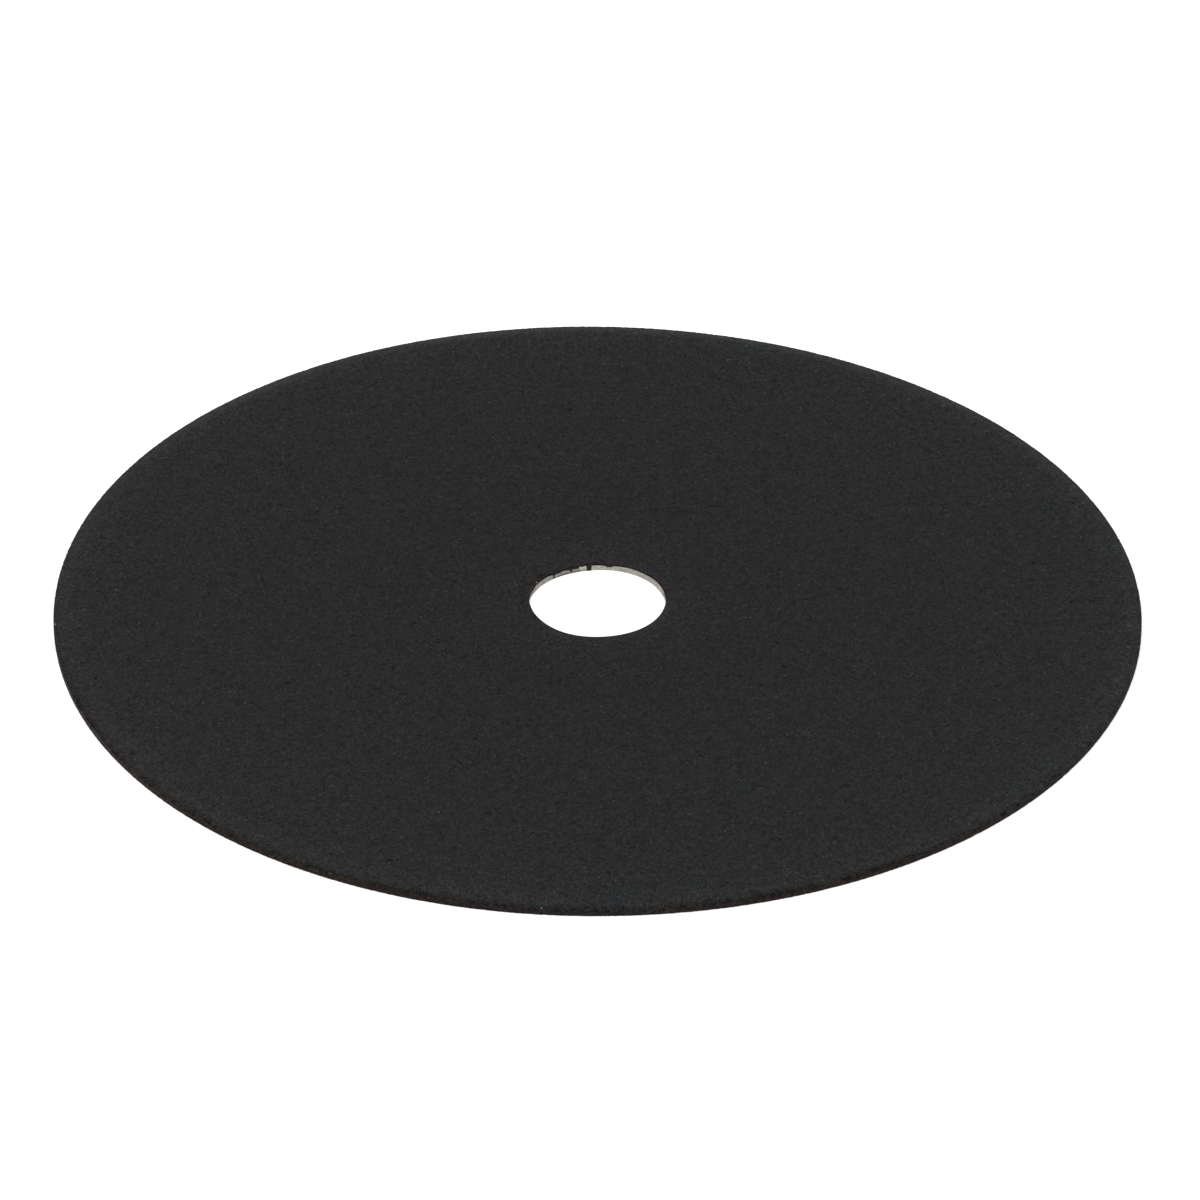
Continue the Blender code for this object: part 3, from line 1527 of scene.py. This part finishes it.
            # Painted highlight, by turn, rising up the strip
            vert[tone] = between(self.strip_painted_highlight, turn) * smooth_step(*self.highlight_rise, rise)
            vert[bare] = between(self.pallor, turn)
            sooty = between(self.soot, turn) * smooth_step(*self.soot_rise, rise)
            # Darker towards the foot over these turns
            vert[grime] = min(1.0, between(self.dirt, turn) + sooty + self.foot_darkening * foot)

    def _nick(self, bm: bmesh.types.BMesh) -> None:
        """Draws the strip up to its crest and presses the nicks into its upper edge.

        Args:
            bm: The ring's mesh.
        """
        for vert in bm.verts:
            turn = turn_of(vert.co)
            vert.co.z *= self.crest_at(turn) / self.size.height
            for middle, width, share in self.nicks:
                away = abs(turn - middle) - width / 2
                vert.co.z *= 1.0 - share * (1.0 - smooth_step(-self.nick_slope, self.nick_slope, away))


@dataclass
class BondFlash:
    """The thin ragged skin of bond that runs from the lip down over the ring, and fills its joint."""

    size: RingSize
    shape: WheelShape
    ring: ArborRing
    top: float
    # By turn: how much of the strip the skin covers, from its upper edge down
    edge: Levels = (
        (75.4, 0.03),
        (77.0, 0.14),
        (78.8, 0.29),
        (80.8, 0.33),
        (82.6, 0.25),
        (84.6, 0.07),
        (86.6, 0.02),
        (95.2, 0.02),
        (95.4, 1.0),
        (99.4, 1.0),
        (99.6, 0.0),
        (101.8, 0.0),
        (103.0, 0.16),
        (104.2, 0.0),
        (105.9, 0.0),
        (106.3, 0.26),
        (111.0, 0.20),
        (112.6, 0.22),
        (112.8, 0.70),
        (113.9, 0.70),
        (114.1, 0.34),
        (117.8, 0.14),
        (121.8, 0.04),
        (124.0, 0.14),
        (126.4, 0.12),
        (129.6, 0.28),
        (129.8, 0.80),
        (130.9, 0.80),
        (131.3, 0.12),
        (136.0, 0.03),
    )
    # How ragged its lower edge is, by a broad and a fine noise. They are read round circles of these radii,
    # the fine one at its own level.
    ragged: float = 0.035
    broad_waves: float = 9.0
    fine_waves: float = 31.0
    fine_level: float = 4.0
    fine_share: float = 0.6
    joint_tone: float = 0.4
    thickness: float = 0.00005
    columns: int = 1800
    rows: int = 4
    finish: BondFinish = field(default_factory=BondFinish)

    def build(self) -> bpy.types.Object:
        """Makes the skin and the block of bond in the joint.

        Returns:
            The piece.
        """
        bm = bmesh.new()
        face = self.size.inner - self.thickness * 0.5
        line = [(face, step / self.rows) for step in range(self.rows + 1)]
        spin_line(bm, line, 0.0, 360.0, self.columns)
        for vert in bm.verts:
            self._hang(vert)
        bmesh.ops.recalc_face_normals(bm, faces=bm.faces)
        bmesh.ops.solidify(bm, geom=list(bm.faces), thickness=self.thickness)
        bmesh.ops.recalc_face_normals(bm, faces=bm.faces)
        self._fill_joint(bm)
        tone = bm.verts.layers.float.new(TONE)
        for vert in bm.verts:
            in_joint = abs(turn_of(vert.co) - self.ring.split_turn) < self.ring.split_width / 2
            vert[tone] = self.joint_tone if in_joint else 0.0
        self.shape.settle(bm.verts)
        return publish("bond_flash", bm, self.finish.material())

    def _hang(self, vert: bmesh.types.BMVert) -> None:
        """Puts a point between the lip and the skin's ragged lower edge.

        Args:
            vert: The point, whose height is its share of the way up the skin.
        """
        turn = turn_of(vert.co)
        jitter = noise.noise(polar(self.broad_waves, turn, 0.0))
        jitter += self.fine_share * noise.noise(polar(self.fine_waves, turn, self.fine_level))
        cover = between(self.edge, turn) + self.ragged * max(0.0, jitter)
        foot = self.ring.crest_at(turn) * (1.0 - min(1.0, cover))
        vert.co.z = foot + (self.top - foot) * vert.co.z

    def _fill_joint(self, bm: bmesh.types.BMesh) -> None:
        """Adds the block of bond that stands in the ring's butt joint.

        Args:
            bm: The skin's mesh.
        """
        width = radians(self.ring.split_width) * self.size.inner - 2 * self.size.gap
        depth = self.size.outer - self.size.inner
        height = self.size.height
        made = bmesh.ops.create_cube(bm, size=1.0)["verts"]
        bmesh.ops.scale(bm, vec=(depth, width, height), verts=made)
        bmesh.ops.translate(bm, vec=(self.size.inner + depth / 2, 0.0, height / 2), verts=made)
        turn = Matrix.Rotation(radians(self.ring.split_turn), 3, "Z")
        bmesh.ops.rotate(bm, cent=(0.0, 0.0, 0.0), matrix=turn, verts=made)


@dataclass(frozen=True)
class Softbox:
    """A square area lamp that looks at the wheel."""

    name: str
    place: Triple
    size: float
    power: float

    def build(self) -> None:
        """Adds the lamp."""
        lamp = bpy.data.lights.new(self.name, "AREA")
        lamp.shape = "SQUARE"
        lamp.size = self.size
        lamp.energy = self.power
        holder = bpy.data.objects.new(self.name, lamp)
        holder.location = self.place
        holder.rotation_euler = (-Vector(self.place)).to_track_quat("-Z", "Y").to_euler()
        bpy.context.scene.collection.objects.link(holder)


@dataclass(frozen=True)
class Studio:
    """A pale floor, an even dome of light and two soft lamps, with a white background."""

    floor_size: float = 8.0
    floor_colour: Colour = (0.8, 0.8, 0.8, 1.0)
    floor_glow: float = 0.6
    floor_gap: float = 0.00002
    dome: float = 0.62
    lamps: tuple[Softbox, ...] = (
        Softbox("key_softbox", (-0.7, -0.75, 1.0), 0.9, 6.5),
        Softbox("fill_softbox", (0.9, 0.5, 1.1), 0.9, 2.5),
    )

    def build(self) -> None:
        """Adds the floor, the world and the lamps, and sets plain colour handling."""
        self._floor()
        self._world()
        for lamp in self.lamps:
            lamp.build()
        bpy.context.scene.view_settings.view_transform = "Standard"
        log.info("studio: %d lamps", len(self.lamps))

    @staticmethod
    def _seen(nodes: bpy.types.Nodes, links: bpy.types.NodeLinks) -> bpy.types.NodeSocket:
        """Returns 1 for rays that show the background, straight, mirrored or through glass, and else 0."""
        path = nodes.new("ShaderNodeLightPath")
        total = path.outputs["Is Camera Ray"]
        for kind in ("Is Glossy Ray", "Is Transmission Ray"):
            node = nodes.new("ShaderNodeMath")
            node.operation = "MAXIMUM"
            links.new(total, node.inputs[0])
            links.new(path.outputs[kind], node.inputs[1])
            total = node.outputs[0]
        return total

    def _floor(self) -> None:
        """Adds the floor, which looks white and still takes the wheel's shadow."""
        graph = Graph("pale_floor")
        graph.shader.inputs["Base Color"].default_value = self.floor_colour
        graph.shader.inputs["Roughness"].default_value = 1.0
        graph.shader.inputs["Specular IOR Level"].default_value = 0.0
        glow = graph.nodes.new("ShaderNodeEmission")
        seen = self._seen(graph.nodes, graph.links)
        graph.feed(glow.inputs["Strength"], graph.math("MULTIPLY", seen, self.floor_glow))
        both = graph.nodes.new("ShaderNodeAddShader")
        graph.feed(both.inputs[0], graph.shader.outputs[0])
        graph.feed(both.inputs[1], glow.outputs[0])
        graph.feed(graph.output.inputs["Surface"], both.outputs[0])
        bm = bmesh.new()
        bmesh.ops.create_grid(bm, x_segments=1, y_segments=1, size=self.floor_size / 2)
        bmesh.ops.translate(bm, vec=(0.0, 0.0, -self.floor_gap), verts=bm.verts)
        mesh = bpy.data.meshes.new("floor")
        bm.to_mesh(mesh)
        bm.free()
        mesh.materials.append(graph.material)
        floor = bpy.data.objects.new("floor", mesh)
        bpy.context.scene.collection.objects.link(floor)

    def _world(self) -> None:
        """Adds the dome, which is white where it is seen and dimmer where it lights the wheel."""
        world = bpy.data.worlds.new("studio_dome")
        world.use_nodes = True
        nodes, links = world.node_tree.nodes, world.node_tree.links
        light = nodes["Background"]
        light.inputs["Color"].default_value = (1.0, 1.0, 1.0, 1.0)
        light.inputs["Strength"].default_value = self.dome
        backdrop = nodes.new("ShaderNodeBackground")
        backdrop.inputs["Color"].default_value = (1.0, 1.0, 1.0, 1.0)
        backdrop.inputs["Strength"].default_value = 1.0
        choice = nodes.new("ShaderNodeMixShader")
        links.new(self._seen(nodes, links), choice.inputs[0])
        links.new(light.outputs[0], choice.inputs[1])
        links.new(backdrop.outputs[0], choice.inputs[2])
        links.new(choice.outputs[0], nodes["World Output"].inputs["Surface"])
        bpy.context.scene.world = world


@dataclass(frozen=True)
class PhotoCamera:
    """The camera at the photograph's viewing angle: a long lens, looking down along +Y."""

    elevation: float = 32.35
    roll: float = 0.31
    lens_mm: float = 222.07
    sensor_mm: float = 36.0
    distance: float = 1.7295
    aside: float = 0.000576
    above: float = 0.000892

    def build(self, target: Vector) -> None:
        """Adds the camera and makes it the scene's own.

        Args:
            target: The middle of the wheel.
        """
        data = bpy.data.cameras.new("photo_camera")
        data.lens = self.lens_mm
        data.sensor_width = self.sensor_mm
        tilt = Matrix.Rotation(radians(90.0 - self.elevation), 3, "X")
        right, up, back = tilt.col
        camera = bpy.data.objects.new("photo_camera", data)
        camera.location = target + back * self.distance + right * self.aside + up * self.above
        camera.rotation_euler = (tilt @ Matrix.Rotation(radians(self.roll), 3, "Z")).to_euler()
        bpy.context.scene.collection.objects.link(camera)
        bpy.context.scene.camera = camera
        log.info("camera: %.2f degrees above the floor", self.elevation)


def measure_ring(node: bpy.types.Object, top: float) -> RingSize:
    """Reads the ring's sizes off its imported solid.

    Args:
        node: The ring's node.
        top: The height of its upper edge.

    Returns:
        The sizes.
    """
    radii = [radius_of(vert.co) for vert in node.data.vertices]
    return RingSize(inner=min(radii), outer=max(radii), height=top)


def main() -> None:
    """Dresses the wheel, piece by piece."""
    logging.basicConfig(level=logging.INFO, format="%(name)s: %(message)s")
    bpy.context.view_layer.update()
    disc_low, disc_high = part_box(DISC_NODE)
    ring_size = measure_ring(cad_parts[RING_NODE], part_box(RING_NODE)[1].z)
    shape = WheelShape(
        hole=Outline(ring_size.inner, HOLE_CALM_RADIUS, disc_high.z, HOLE_WAVES, HOLE_CORNERS, HOLE_LEAN),
        rim=Outline(disc_high.x, RIM_CALM_RADIUS, disc_high.z, RIM_WAVES),
    )

    PhotoCamera().build(target=(disc_low + disc_high) / 2)
    Studio().build()

    disc = AbrasiveDisc(radius=disc_high.x, thickness=disc_high.z, shape=shape, ring=ring_size)
    abrasive = disc.finish.material()
    disc.build(abrasive)
    GritLayer(disc, Surface.UPPER, count=4500, seed=11, strays=LONE_GRAINS).build(abrasive)
    GritLayer(disc, Surface.LOWER, count=4000, seed=23).build(abrasive)
    GritLayer(disc, Surface.RIM, count=5000, seed=37).build(abrasive)

    ring = ArborRing(size=ring_size, shape=shape)
    ring.build()
    BondFlash(size=ring_size, shape=shape, ring=ring, top=disc.seat_top + disc.lip_corner).build()


if __name__ == "__main__":
    main()
